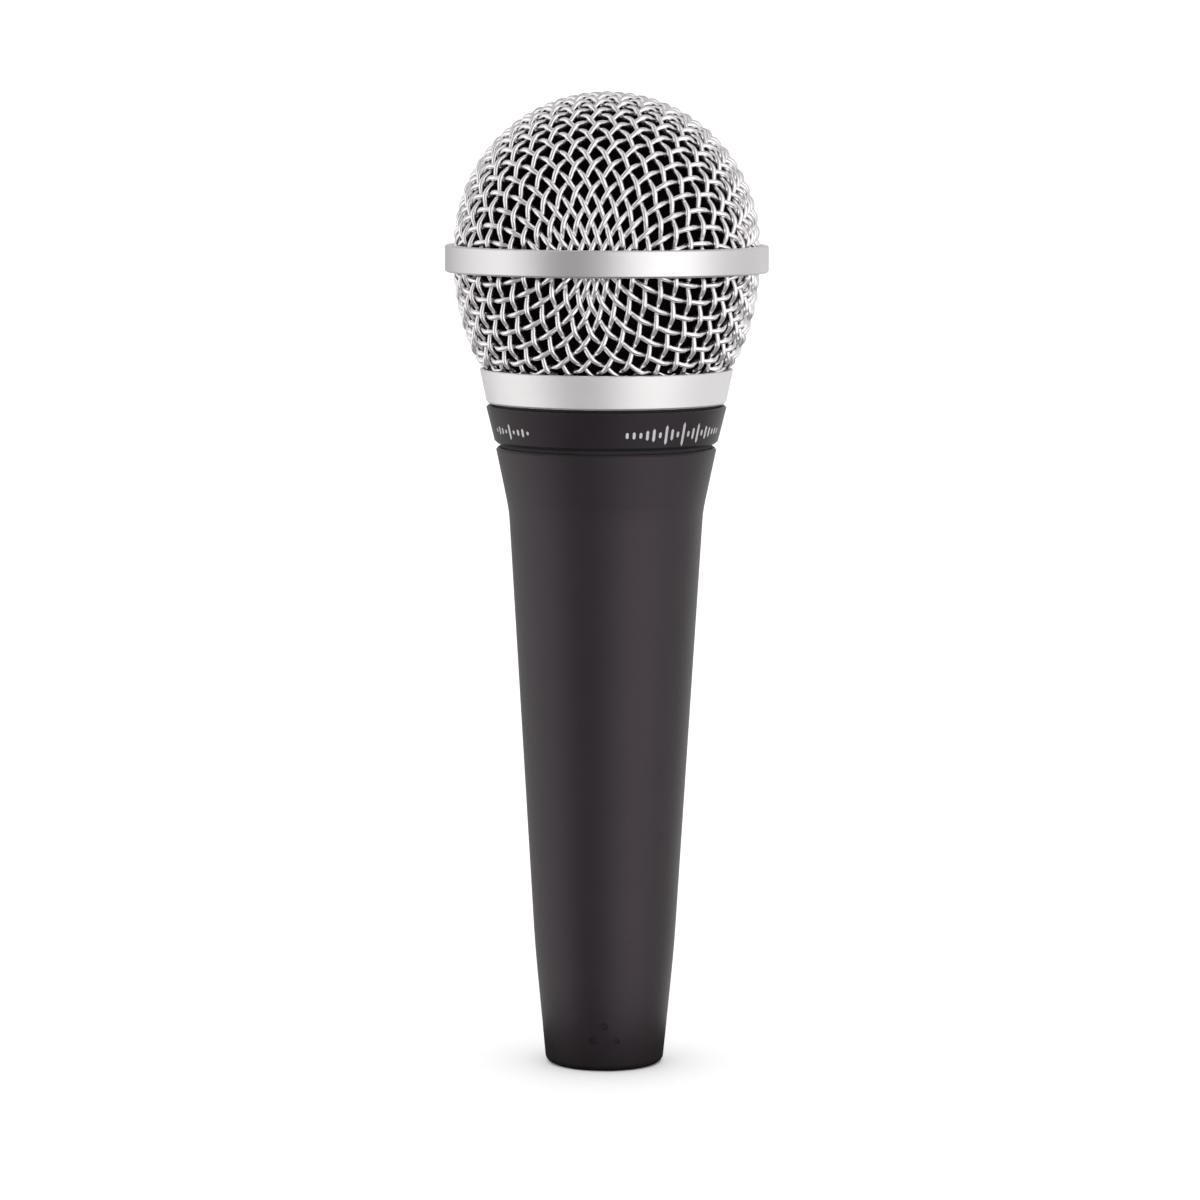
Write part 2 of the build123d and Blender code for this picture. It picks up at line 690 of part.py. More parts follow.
ARC_CENTRE = (BOWL_RADIUS - BOWL_ARC, BOWL_ARC_HEIGHT)
CORNER_HEIGHT = RING_LEDGE + FIT + BOWL_CORNER
CORNER_REACH = math.sqrt((BOWL_ARC - BOWL_CORNER) ** 2 - (CORNER_HEIGHT - BOWL_ARC_HEIGHT) ** 2)
CORNER_CENTRE = (ARC_CENTRE[0] + CORNER_REACH, CORNER_HEIGHT)
CORNER_ANGLE = math.degrees(math.atan2(CORNER_HEIGHT - BOWL_ARC_HEIGHT, CORNER_REACH))


def bowl_skin(inset, hole, top):
    """The bowl's outline, inset: its side arc from the top down, then the corner arc in to the hole."""
    arc, corner = BOWL_ARC - inset, BOWL_CORNER - inset
    start = math.degrees(math.asin((top - BOWL_ARC_HEIGHT) / arc))
    end = -math.degrees(math.acos((hole - CORNER_CENTRE[0]) / corner))
    side = CenterArc(ARC_CENTRE, arc, start, CORNER_ANGLE - start)
    return side, CenterArc(CORNER_CENTRE, corner, CORNER_ANGLE, end - CORNER_ANGLE)


def bowl_layer(outer, thick, hole, top):
    """A closed layer of the bowl between two insets, from a hole at its foot up to a height."""
    outer_side, outer_corner = bowl_skin(outer, hole, top)
    inner_side, inner_corner = bowl_skin(outer + thick, hole, top)
    return turned_curves(
        outer_side,
        outer_corner,
        Line(outer_corner @ 1, inner_corner @ 1),
        inner_corner,
        inner_side,
        Line(inner_side @ 0, outer_side @ 0),
    )


def dome_layer(outer, inner, base):
    """A closed layer of the dome between two radii, with a straight skirt down to a height."""
    return turned_curves(
        CenterArc((0, DOME_CENTRE), outer, 0, 90),
        Line((0, DOME_CENTRE + outer), (0, DOME_CENTRE + inner)),
        CenterArc((0, DOME_CENTRE), inner, 90, -90),
        Line((inner, DOME_CENTRE), (inner, base)),
        Line((inner, base), (outer, base)),
        Line((outer, base), (outer, DOME_CENTRE)),
    )


WEB_BASE = (BAND_BASE + BAND_TOP - BAND_WEB) / 2
WEB_TOP = WEB_BASE + BAND_WEB


def grille_dome_mesh():
    """The woven wire dome, as a plain shell of its outer shape."""
    return dome_layer(DOME_RADIUS, DOME_RADIUS - MESH_THICK, WEB_TOP + FIT)


def grille_bowl_mesh():
    """The woven wire bowl, as a plain shell of its outer shape."""
    return bowl_layer(0, MESH_THICK, MESH_HOLE, WEB_BASE - FIT)


def grille_band():
    """The band that clamps dome and bowl together, with an inner web between them."""
    return turned(
        [
            (BAND_BORE, BAND_BASE),
            (BAND_RADIUS, BAND_BASE),
            (BAND_RADIUS, BAND_TOP),
            (BAND_BORE, BAND_TOP),
            (BAND_BORE, WEB_TOP),
            (BAND_WEB_BORE, WEB_TOP),
            (BAND_WEB_BORE, WEB_BASE),
            (BAND_BORE, WEB_BASE),
        ],
        [((BAND_RADIUS, BAND_BASE), 0.45), ((BAND_RADIUS, BAND_TOP), 0.35)],
    )


def dome_foam():
    """The foam liner of the dome."""
    outer = DOME_RADIUS - WEAVE_DEPTH - FOAM_GAP
    return dome_layer(outer, outer - DOME_FOAM_THICK, WEB_TOP + FIT)


def bowl_foam():
    """The foam liner of the bowl."""
    return bowl_layer(WEAVE_DEPTH + FOAM_GAP, BOWL_FOAM_THICK, MESH_HOLE, WEB_BASE - FIT)


# --- Output -------------------------------------------------------------------------------------
os.makedirs("parts", exist_ok=True)

PLAIN_NODES = (
    handle_shell,
    handle_collar,
    shoulder_seal,
    connector_insert,
    ground_clip,
    insert_lock_screw,
    switch_plate,
    switch_plate_screws,
    switch_button,
    switch_lever,
    switch_body,
    shock_mount,
    cartridge_can,
    cartridge_cap,
    front_screen,
    diaphragm,
    voice_coil,
    diaphragm_support,
    diaphragm_clamp_ring,
    pole_plate,
    centre_pole,
    magnet,
    magnet_yoke,
    yoke_carrier,
    rear_port_screen,
    damping_felt,
    rear_chamber,
    terminal_board,
    terminal_posts,
    grille_washer,
    grille_base_ring,
    grille_dome_mesh,
    grille_bowl_mesh,
    grille_band,
    dome_foam,
    bowl_foam,
)

for make in PLAIN_NODES:
    shape_of(make.__name__, make())
for node, place in PIN_ANGLES.items():
    shape_of(node, contact_pin(place))
shape_of("lead_hot", lead(1, "contact_pin_2"))
shape_of("lead_cold", lead(-1, "contact_pin_3"))
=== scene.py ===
"""Looks of the hand-held dynamic microphone: wire grille, foam liners, materials, studio and camera.

Everything is in metres, in the model's own frame: +Z up the microphone's axis, and the plain back
towards -Y.
"""

import json
import math

import bpy
import numpy as np
from mathutils import Matrix, Vector, noise


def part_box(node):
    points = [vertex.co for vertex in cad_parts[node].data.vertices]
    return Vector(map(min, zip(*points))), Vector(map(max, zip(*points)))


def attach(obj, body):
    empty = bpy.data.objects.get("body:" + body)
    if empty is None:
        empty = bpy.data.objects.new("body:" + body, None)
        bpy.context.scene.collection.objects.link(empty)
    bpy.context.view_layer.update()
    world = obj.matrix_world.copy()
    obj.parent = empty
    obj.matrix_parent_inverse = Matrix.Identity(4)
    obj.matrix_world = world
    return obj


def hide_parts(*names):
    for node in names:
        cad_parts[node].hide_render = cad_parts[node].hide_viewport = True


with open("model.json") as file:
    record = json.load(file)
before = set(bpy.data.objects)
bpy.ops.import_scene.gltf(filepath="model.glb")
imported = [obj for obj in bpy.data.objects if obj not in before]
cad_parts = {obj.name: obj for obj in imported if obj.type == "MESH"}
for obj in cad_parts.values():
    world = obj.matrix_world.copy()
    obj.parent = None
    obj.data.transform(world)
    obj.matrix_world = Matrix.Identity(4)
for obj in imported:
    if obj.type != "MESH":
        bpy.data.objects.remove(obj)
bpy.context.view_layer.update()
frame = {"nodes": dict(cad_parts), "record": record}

MM = 0.001

# --- Driving sizes ------------------------------------------------------------------------------
WIRE_RADIUS = 0.45 * MM
CRIMP = 0.45 * MM  # how far a wire swings in and out of the woven surface
WEAVE_DEPTH = WIRE_RADIUS + CRIMP
PITCH = 2.7 * MM  # side of a woven cell
BIAS = math.radians(-6)  # where the diagonal of the weave faces, from -Y towards +X
WIRE_SIDES = 12
STEPS_PER_CELL = 8
BOWL_ARC = 35.5 * MM  # radius of the outline of the bowl's side
BOWL_ARC_HEIGHT = 135 * MM
BOWL_CORNER = 6 * MM  # rounding of the outline where the bowl turns in at its foot
BOWL_CORNER_HEIGHT = 122.25 * MM
RIM_DEPTH = 1.7 * MM  # how far the wires run on inside the band
NECK_HOLE = 17.4 * MM  # radius of the hole for the neck, in bowl and liner
LINER_INSET = 1.85 * MM  # from the outside of the wires to the foam
DOME_LINER_THICK = 4 * MM
BOWL_LINER_THICK = 2.5 * MM


def high(node):
    """The highest corner of a CAD node's box."""
    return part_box(node)[1]


def low(node):
    """The lowest corner of a CAD node's box."""
    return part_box(node)[0]


DOME_RADIUS = high("grille_dome_mesh").x
DOME_CENTRE = high("grille_dome_mesh").z - DOME_RADIUS
BOWL_RADIUS = high("grille_bowl_mesh").x
BAND_TOP = high("grille_band").z
BAND_BASE = low("grille_band").z
ARC_CENTRE = np.array([BOWL_RADIUS - BOWL_ARC, BOWL_ARC_HEIGHT])
CORNER_RISE = BOWL_CORNER_HEIGHT - BOWL_ARC_HEIGHT
CORNER_REACH = math.sqrt((BOWL_ARC - BOWL_CORNER) ** 2 - CORNER_RISE**2)
CORNER_CENTRE = ARC_CENTRE + [CORNER_REACH, CORNER_RISE]


# --- Mesh helpers -------------------------------------------------------------------------------
TUBE_SEED = (0.31, 0.17, 0.93)  # a direction that no wire starts along


def add_mesh(name, vertices, faces, material, body, stands_for=()):
    """A smooth-shaded mesh that rides on a body, and stands for CAD nodes where any are named."""
    mesh = bpy.data.meshes.new(name)
    mesh.from_pydata([tuple(v) for v in vertices], [], [tuple(f) for f in faces])
    mesh.polygons.foreach_set("use_smooth", [True] * len(mesh.polygons))
    mesh.materials.append(material)
    mesh.update()
    piece = bpy.data.objects.new(name, mesh)
    bpy.context.scene.collection.objects.link(piece)
    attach(piece, body)
    if stands_for:
        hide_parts(*stands_for)
    return piece


def tube(points, radius, sides):
    """Vertices and faces of a closed round tube along a line of points."""
    points = np.asarray(points)
    along = np.gradient(points, axis=0)
    along /= np.linalg.norm(along, axis=1)[:, None]
    side = np.cross(along[0], TUBE_SEED)
    rings = []
    for point, way in zip(points, along):
        side = side - way * side.dot(way)
        side = side / np.linalg.norm(side)
        other = np.cross(way, side)
        for k in range(sides):
            turn = 2 * math.pi * k / sides
            rings.append(point + radius * (math.cos(turn) * side + math.sin(turn) * other))
    faces = []
    for row in range(len(points) - 1):
        here, there = row * sides, (row + 1) * sides
        for k in range(sides):
            after = (k + 1) % sides
            faces.append([here + k, here + after, there + after, there + k])
    last = (len(points) - 1) * sides
    faces.append(list(reversed(range(sides))))
    faces.append([last + k for k in range(sides)])
    return rings, faces


def joined(shapes):
    """One list of vertices and one of faces from several shapes."""
    vertices, faces = [], []
    for shape_vertices, shape_faces in shapes:
        base = len(vertices)
        vertices += shape_vertices
        faces += [[base + k for k in face] for face in shape_faces]
    return vertices, faces


# --- Woven wire ---------------------------------------------------------------------------------
DOME_REACH, BOWL_REACH = 18, 22  # wires of each family on either side of the middle one
WALK_TRIES = 8  # corrections of one step along the middle wires
CORNER_TRIES = 40  # corrections of the corner of one cell
CORNER_MISS = 1e-4 * MM  # error allowed in a cell's side
CELL_CLOSED, CELL_FLAT = 0.15, 1.99  # a cell's diagonal stays between these, in sides
ON_AXIS = 1e-9


class Dome:
    """The middle surface of the woven dome: a sphere."""

    def __init__(self):
        self.radius = DOME_RADIUS - WEAVE_DEPTH
        self.centre = np.array([0, 0, DOME_CENTRE])
        self.pole = self.centre + [0, 0, self.radius]

    def place(self, point):
        """The point of the surface nearest to a point."""
        return self.centre + self.normal(point) * self.radius

    def normal(self, point):
        """The outward normal at a point."""
        way = point - self.centre
        return way / np.linalg.norm(way)

    def shows(self, point):
        """Whether the wires reach this point."""
        return point[2] > BAND_TOP - RIM_DEPTH


class Bowl:
    """The middle surface of the woven bowl: a flat foot, a rounded corner and a side of one arc."""

    def __init__(self):
        self.arc_centre = ARC_CENTRE
        self.arc = BOWL_ARC - WEAVE_DEPTH
        self.corner = CORNER_CENTRE
        self.rounding = BOWL_CORNER - WEAVE_DEPTH
        self.foot = self.corner[1] - self.rounding
        self.pole = np.array([0, 0, self.foot])

    def section(self, point):
        """The nearest point of the outline and its outward normal, both as (radius, height)."""
        here = np.array([math.hypot(point[0], point[1]), point[2]])
        from_corner = here - self.corner
        if here[0] < self.corner[0] and here[1] < self.corner[1]:
            return np.array([here[0], self.foot]), np.array([0, -1])
        way = self.corner - self.arc_centre
        side = way[0] * from_corner[1] - way[1] * from_corner[0]
        centre, radius = (self.corner, self.rounding) if side < 0 else (self.arc_centre, self.arc)
        out = (here - centre) / np.linalg.norm(here - centre)
        return centre + out * radius, out

    def place(self, point):
        """The point of the surface nearest to a point."""
        spot = self.section(point)[0]
        reach = math.hypot(point[0], point[1])
        if reach < ON_AXIS:
            return np.array([0, 0, spot[1]])
        return np.array([point[0] / reach * spot[0], point[1] / reach * spot[0], spot[1]])

    def normal(self, point):
        """The outward normal at a point."""
        out = self.section(point)[1]
        reach = max(math.hypot(point[0], point[1]), ON_AXIS)
        return np.array([point[0] / reach * out[0], point[1] / reach * out[0], out[1]])

    def shows(self, point):
        """Whether the wires reach this point."""
        clear_of_neck = math.hypot(point[0], point[1]) > NECK_HOLE + 0.5 * WIRE_RADIUS
        return clear_of_neck and point[2] < BAND_BASE + RIM_DEPTH


def net(surface, reach):
    """Crossings of a weave pressed over a surface with its cells' sides kept, as {(i, j): point}."""
    crossings = {(0, 0): surface.pole}
    for axis in (0, 1):
        turn = BIAS + (0.25 if axis == 0 else -0.25) * math.pi
        for sign in (-1, 1):
            way = sign * np.array([math.sin(turn), -math.cos(turn), 0])
            here = surface.pole
            for k in range(1, reach + 1):
                there = here + way * PITCH
                for _ in range(WALK_TRIES):
                    step = surface.place(there) - here
                    there = here + step / np.linalg.norm(step) * PITCH
                way = (there - here) / PITCH
                here = there
                crossings[(sign * k, 0) if axis == 0 else (0, sign * k)] = here
    for a in (-1, 1):
        for b in (-1, 1):
            for i in range(1, reach + 1):
                for j in range(1, reach + 1):
                    ends = [(a * (i - 1), b * j), (a * i, b * (j - 1)), (a * (i - 1), b * (j - 1))]
                    if all(end in crossings for end in ends):
                        spot = fourth_corner(surface, *[crossings[end] for end in ends])
                        if spot is not None:
                            crossings[(a * i, b * j)] = spot
    return crossings


def fourth_corner(surface, one, two, shared):
    """The corner of a cell across from a shared one, or None where the cell closes up."""
    gap = np.linalg.norm(one - two)
    if not CELL_CLOSED * PITCH < gap < CELL_FLAT * PITCH:
        return None
    spot = one + two - shared
    for _ in range(CORNER_TRIES):
        spot = surface.place(spot)
        ways = np.array([spot - one, spot - two])
        lengths = np.linalg.norm(ways, axis=1)
        misfit = lengths - PITCH
        if np.abs(misfit).max() < CORNER_MISS:
            return spot
        spot = spot - np.linalg.pinv(ways / lengths[:, None]) @ misfit
    return None


def between(a, b, c, d, t):
    """A point of the smooth curve through b and c, with a before and d after."""
    square, cube = 2 * a - 5 * b + 4 * c - d, 3 * b - a - 3 * c + d
    return 0.5 * (2 * b + (c - a) * t + square * t**2 + cube * t**3)


def wires(surface, crossings, reach, family):
    """The centre lines of one family of wires, going over and under the other family."""
    lines = []
    for i in range(-reach, reach + 1):
        keys = [(i, j) if family == 0 else (j, i) for j in range(-reach, reach + 1)]
        run = [key for key in keys if key in crossings]
        points = [crossings[key] for key in run]
        if len(points) < 3:
            continue
        points = [2 * points[0] - points[1], *points, 2 * points[-1] - points[-2]]
        line = []
        for k in range(1, len(points) - 2):
            for step in range(STEPS_PER_CELL):
                t = step / STEPS_PER_CELL
                spot = surface.place(between(*points[k - 1 : k + 3], t))
                if surface.shows(spot):
                    over = math.cos(math.pi * (sum(run[k - 1]) + t)) * (1 if family == 0 else -1)
                    line.append(spot + surface.normal(spot) * CRIMP * over)
                elif line:
                    lines.append(line)
                    line = []
        lines.append(line)
    return [line for line in lines if len(line) > STEPS_PER_CELL // 2]


def weave(name, surface, reach, material, node):
    """Both families of wires of one woven piece, as two meshes that stand for its CAD shell."""
    crossings = net(surface, reach)
    for family, kind in enumerate(("warp", "weft")):
        lines = wires(surface, crossings, reach, family)
        vertices, faces = joined([tube(line, WIRE_RADIUS, WIRE_SIDES) for line in lines])
        wired = f"{name}_{kind}_wires"
        add_mesh(wired, vertices, faces, material, "grille_head", (node,))


# --- Foam liners --------------------------------------------------------------------------------
FOAM_SWELL = 0.25 * MM
FOAM_GRAIN = 900  # bumps per metre
FOAM_FINER, FOAM_FINE_SHARE = 2.3, 0.5  # of the bumps on those bumps
FOAM_AROUND = 220
DOME_ROWS, BOWL_ROWS = (100, 24), (60, 18)  # of the outer and the inner face
NEAR_POLE = 89.8  # degrees up the dome where its liner's rows stop
POLE_HOLE = 0.05 * MM
PRESS = 1.0 * MM  # how far the liner bulges out between the wires at the bowl's foot
PRESS_START, PRESS_FULL = 34, 48  # where it does, in degrees down the rounding


def foam_layer(name, node, outline, material):
    """A closed foam liner turned from (radius, height, swell) rows, uneven where swell is above 0."""
    rows = len(outline)
    vertices, faces = [], []
    for row, (radius, height, swell) in enumerate(outline):
        before, after = outline[row - 1], outline[(row + 1) % rows]
        along = Vector((after[0] - before[0], after[1] - before[1])).normalized()
        for k in range(FOAM_AROUND):
            turn = 2 * math.pi * k / FOAM_AROUND
            spot = Vector((radius * math.cos(turn), radius * math.sin(turn), height))
            fine = noise.noise(spot * FOAM_GRAIN * FOAM_FINER)
            lump = noise.noise(spot * FOAM_GRAIN) + FOAM_FINE_SHARE * fine
            out = Vector((along.y * math.cos(turn), along.y * math.sin(turn), -along.x))
            vertices.append(tuple(spot + out * swell * (lump - 1) * 0.5))
    for row in range(rows):
        above = (row + 1) % rows
        for k in range(FOAM_AROUND):
            beside = (k + 1) % FOAM_AROUND
            corners = (row, k), (row, beside), (above, beside), (above, k)
            faces.append([level * FOAM_AROUND + place for level, place in corners])
    piece = add_mesh(name, vertices, faces, material, "grille_head", (node,))
    return piece


def arc_rows(centre, radius, start, end, count, swell):
    """Outline rows along an arc, angles from the horizontal in degrees."""
    rows = []
    for k in range(count + 1):
        turn = math.radians(start + (end - start) * k / count)
        spot = (centre[0] + radius * math.cos(turn), centre[1] + radius * math.sin(turn))
        rows.append((max(spot[0], POLE_HOLE), spot[1], swell))
    return rows


def dome_liner_rows():
    """Outline of the dome's liner: outer face up, inner face down."""
    outer = DOME_RADIUS - LINER_INSET
    inner = outer - DOME_LINER_THICK
    base = low("dome_foam").z
    centre = (0, DOME_CENTRE)
    rows = [(outer, base + k / 4 * (DOME_CENTRE - base), FOAM_SWELL) for k in range(4)]
    rows += arc_rows(centre, outer, 0, NEAR_POLE, DOME_ROWS[0], FOAM_SWELL)
    rows += arc_rows(centre, inner, NEAR_POLE, 0, DOME_ROWS[1], 0)
    return [*rows, (inner, base, 0)]


def bowl_face_rows(inset, count, swell):
    """Outline rows of the bowl at an inset, from the neck's hole up to its top."""
    rounding, arc = BOWL_CORNER - inset, BOWL_ARC - inset
    foot = -math.degrees(math.acos((NECK_HOLE - CORNER_CENTRE[0]) / rounding))
    meeting = math.degrees(math.atan2(CORNER_RISE, CORNER_REACH))
    top = math.degrees(math.asin((high("bowl_foam").z - BOWL_ARC_HEIGHT) / arc))
    rows = arc_rows(CORNER_CENTRE, rounding, foot, meeting, count // 3, swell)
    return rows + arc_rows(ARC_CENTRE, arc, meeting, top, count, swell)[1:]


def pressed(row):
    """A row of the liner's outer face, let out between the wires where the bowl turns in."""
    radius, height, swell = row
    out, down = radius - CORNER_CENTRE[0], CORNER_CENTRE[1] - height
    reach = math.hypot(out, down)
    slope = math.degrees(math.atan2(down, out))
    share = min(1.0, max(0.0, (slope - PRESS_START) / (PRESS_FULL - PRESS_START)))
    wider = 1 + share * PRESS / reach
    return CORNER_CENTRE[0] + out * wider, CORNER_CENTRE[1] - down * wider, swell * (1 - share)


def bowl_liner_rows():
    """Outline of the bowl's liner: outer face up, inner face down."""
    outer = [pressed(row) for row in bowl_face_rows(LINER_INSET, BOWL_ROWS[0], FOAM_SWELL)]
    return outer + bowl_face_rows(LINER_INSET + BOWL_LINER_THICK, BOWL_ROWS[1], 0)[::-1]


# --- Materials ----------------------------------------------------------------------------------
NOISE_LOW, NOISE_HIGH = 0.3, 0.7  # nearly all of a noise texture lies between these
NOISE_ROUGHNESS = 0.6
PLUM = (1.0, 0.84, 0.93, 1.0)  # cast of the black paint's reflections


def nodes_of(name):
    """A new material, with its node tree and shader node."""
    material = bpy.data.materials.new(name)
    material.use_nodes = True
    return material, material.node_tree, material.node_tree.nodes["Principled BSDF"]


def noise_node(tree, scale, detail=4.0):
    """A noise texture in object space, with scale in features per metre."""
    place = tree.nodes.new("ShaderNodeTexCoord")
    texture = tree.nodes.new("ShaderNodeTexNoise")
    texture.inputs["Scale"].default_value = scale
    texture.inputs["Detail"].default_value = detail
    texture.inputs["Roughness"].default_value = NOISE_ROUGHNESS
    tree.links.new(place.outputs["Object"], texture.inputs["Vector"])
    return texture


def ramp(tree, source, stops):
    """A colour ramp from (position, colour) stops."""
    node = tree.nodes.new("ShaderNodeValToRGB")
    while len(node.color_ramp.elements) < len(stops):
        node.color_ramp.elements.new(0.5)
    for element, (position, colour) in zip(node.color_ramp.elements, stops):
        element.position = position
        element.color = (*colour, 1)
    tree.links.new(source, node.inputs["Fac"])
    return node.outputs["Color"]


def map_range(tree, source, start, end, first=0.0, last=1.0):
    """A number that goes from first to last as its source goes from start to end."""
    node = tree.nodes.new("ShaderNodeMapRange")
    node.inputs["From Min"].default_value = start
    node.inputs["From Max"].default_value = end
    node.inputs["To Min"].default_value = first
    node.inputs["To Max"].default_value = last
    tree.links.new(source, node.inputs["Value"])
    return node.outputs["Result"]


def math_node(tree, operation, first, second):
    """What an operation makes of a socket and a number, or of two sockets."""
    node = tree.nodes.new("ShaderNodeMath")
    node.operation = operation
    tree.links.new(first, node.inputs[0])
    if isinstance(second, (int, float)):
        node.inputs[1].default_value = second
    else:
        tree.links.new(second, node.inputs[1])
    return node.outputs["Value"]


def bump(tree, shader, source, strength, distance):
    """Fine relief on a shader."""
    node = tree.nodes.new("ShaderNodeBump")
    node.inputs["Strength"].default_value = strength
    node.inputs["Distance"].default_value = distance
    tree.links.new(source, node.inputs["Height"])
    tree.links.new(node.outputs["Normal"], shader.inputs["Normal"])


def finish_of(name, dark, light, rough, metallic=0.0, blotch=120, grain=2600, relief=0.02, **more):
    """A material with fine grain, whose colour drifts from dark to light and roughness in a range."""
    material, tree, shader = nodes_of(name)
    drift = noise_node(tree, blotch)
    fine = noise_node(tree, grain, detail=2.0)
    colour = ramp(tree, drift.outputs["Fac"], [(NOISE_LOW, dark), (NOISE_HIGH, light)])
    tree.links.new(colour, shader.inputs["Base Color"])
    roughness = map_range(tree, fine.outputs["Fac"], NOISE_LOW, NOISE_HIGH, *rough)
    tree.links.new(roughness, shader.inputs["Roughness"])
    bump(tree, shader, fine.outputs["Fac"], 1.0, relief * MM)
    shader.inputs["Metallic"].default_value = metallic
    for socket, value in more.items():
        shader.inputs[socket.replace("_", " ")].default_value = value
    return material


def tinted(value):
    """A near-black with the faintly plum cast of the handle's paint."""
    return (value * 1.25, value, value * 1.18)


def plated(value):
    """A bright metal, very slightly warm."""
    return (value * 1.02, value * 0.99, value * 0.995)


def grey(value, warm=0.0):
    """A grey of one value, a little warmer where warm is above 0."""
    return (value * (1 + warm), value, value * (1 - warm))


HANDLE_PAINT = finish_of(
    "handle_paint",
    tinted(0.0085),
    tinted(0.010),
    (0.34, 0.42),
    grain=5200,
    relief=0.010,
    Specular_Tint=PLUM,
)
COLLAR_PAINT = finish_of(
    "collar_paint",
    tinted(0.009),
    tinted(0.011),
    (0.28, 0.36),
    grain=4200,
    relief=0.006,
    Specular_IOR_Level=0.27,
    Specular_Tint=PLUM,
)
PRINT_INK = finish_of("print_ink", grey(0.38), grey(0.48), (0.5, 0.6), grain=5200, relief=0.006)
WIRE = finish_of(
    "wire_plating",
    plated(0.93),
    plated(0.98),
    (0.15, 0.23),
    0.97,
    blotch=400,
    grain=5200,
    relief=0.006,
)
BAND = finish_of(
    "band_plating", plated(0.78), plated(0.82), (0.30, 0.36), 1.0, grain=9000, relief=0.003
)
RING = finish_of(
    "ring_plating", plated(0.84), plated(0.88), (0.40, 0.46), 0.82, grain=9000, relief=0.003
)
FOAM = finish_of(
    "liner_foam",
    grey(0.001),
    grey(0.004),
    (0.9, 1.0),
    grain=2400,
    relief=0.3,
    Specular_IOR_Level=0.03,
)
RUBBER = finish_of("rubber", grey(0.010), grey(0.016), (0.65, 0.8), grain=3000, relief=0.02)
MOULDING = finish_of("dark_moulding", grey(0.018), grey(0.024), (0.4, 0.5), grain=3500, relief=0.02)
SILVERED = finish_of(
    "silvered_contact",
    grey(0.70, 0.05),
    grey(0.80, 0.04),
    (0.18, 0.28),
    1.0,
    blotch=600,
    relief=0.004,
)
STEEL = finish_of("plated_steel", grey(0.30), grey(0.38), (0.24, 0.34), 1.0, blotch=500, relief=0.006)
MAGNET = finish_of("magnet_metal", grey(0.26), grey(0.34), (0.35, 0.5), 1.0, blotch=700, relief=0.01)
COPPER = finish_of(
    "copper_winding",
    (0.58, 0.24, 0.10),
    (0.72, 0.34, 0.16),
    (0.25, 0.35),
    1.0,
    grain=3000,
    relief=0.03,
)
FILM = finish_of(
    "polyester_film",
    (0.62, 0.58, 0.44),
    (0.70, 0.66, 0.52),
    (0.15, 0.25),
    grain=1500,
    relief=0.004,
)
CLOTH = finish_of("acoustic_cloth", grey(0.012), grey(0.03), (0.8, 0.95), grain=6000, relief=0.04)
FELT = finish_of(
    "pressed_felt", grey(0.30, 0.03), grey(0.40, 0.03), (0.9, 1.0), grain=3500, relief=0.1
)
BOARD = finish_of(
    "board_laminate",
    (0.02, 0.12, 0.06),
    (0.03, 0.16, 0.08),
    (0.25, 0.35),
    grain=3000,
    relief=0.01,
)
RED_WIRE = finish_of(
    "red_insulation", (0.45, 0.02, 0.015), (0.55, 0.03, 0.02), (0.4, 0.5), relief=0.01
)
BLACK_WIRE = finish_of("black_insulation", grey(0.012), grey(0.018), (0.4, 0.5), relief=0.01)

BY_SLOT = {
    "handle_paint": HANDLE_PAINT,
    "collar_black": COLLAR_PAINT,
    "rubber_black": RUBBER,
    "wire_steel": WIRE,
    "silver_band": BAND,
    "silver_ring": RING,
    "foam_black": FOAM,
    "insert_plastic": MOULDING,
    "contact_metal": SILVERED,
    "plated_steel": STEEL,
    "magnet_metal": MAGNET,
    "copper_coil": COPPER,
    "film": FILM,
    "cloth_black": CLOTH,
    "felt_grey": FELT,
    "moulding_dark": MOULDING,
    "board_green": BOARD,
    "wire_red": RED_WIRE,
    "wire_black": BLACK_WIRE,
    "switch_plastic": MOULDING,
}


def dress_cad_nodes():
    """Gives every CAD node the material of its slot."""
    for part in frame["record"]["subparts"]:
        mesh = frame["nodes"][part["node"]].data
        mesh.materials.clear()
        mesh.materials.append(BY_SLOT[part["material_slot"]])


# --- Printed ornament on the collar -------------------------------------------------------------
PRINT_LIFT = 0.02 * MM
PRINT_THICK = 0.03 * MM
PRINT_HEIGHT = 2.55 * MM  # of the bars' middle, above the collar's foot
BAR_WIDTH = 0.5 * MM
BAR_PITCH = 1.15 * MM
BAR_TIP = 0.03 * MM  # half of a bar's width at its very end
BAR_ROWS = 9
COLLAR_RADII = (18.72 * MM, 20.1 * MM)  # at the foot and at the head of its straight side
COLLAR_EDGES = (0.45 * MM, 0.3 * MM)  # height of the rounding below and above that side
# Name, azimuth of the middle in degrees, number of bars, and length of the tallest in millimetres
PRINTS = (("wave_print_right", 41, 19, 4.0), ("wave_print_left", -56, 9, 2.6))
SHORTEST = 0.25  # of the tallest
SWELL_MEAN, SWELL_WAVE, SWELL_RATE = 0.55, 0.45, 2.3  # how the bars' lengths go up and down


def collar_radius(height):
    """The collar's outside radius at a height, on its straight side."""
    foot_radius, head_radius = COLLAR_RADII
    foot = low("handle_collar").z + COLLAR_EDGES[0]
    head = high("handle_collar").z - COLLAR_EDGES[1]
    return foot_radius + (head_radius - foot_radius) * (height - foot) / (head - foot)


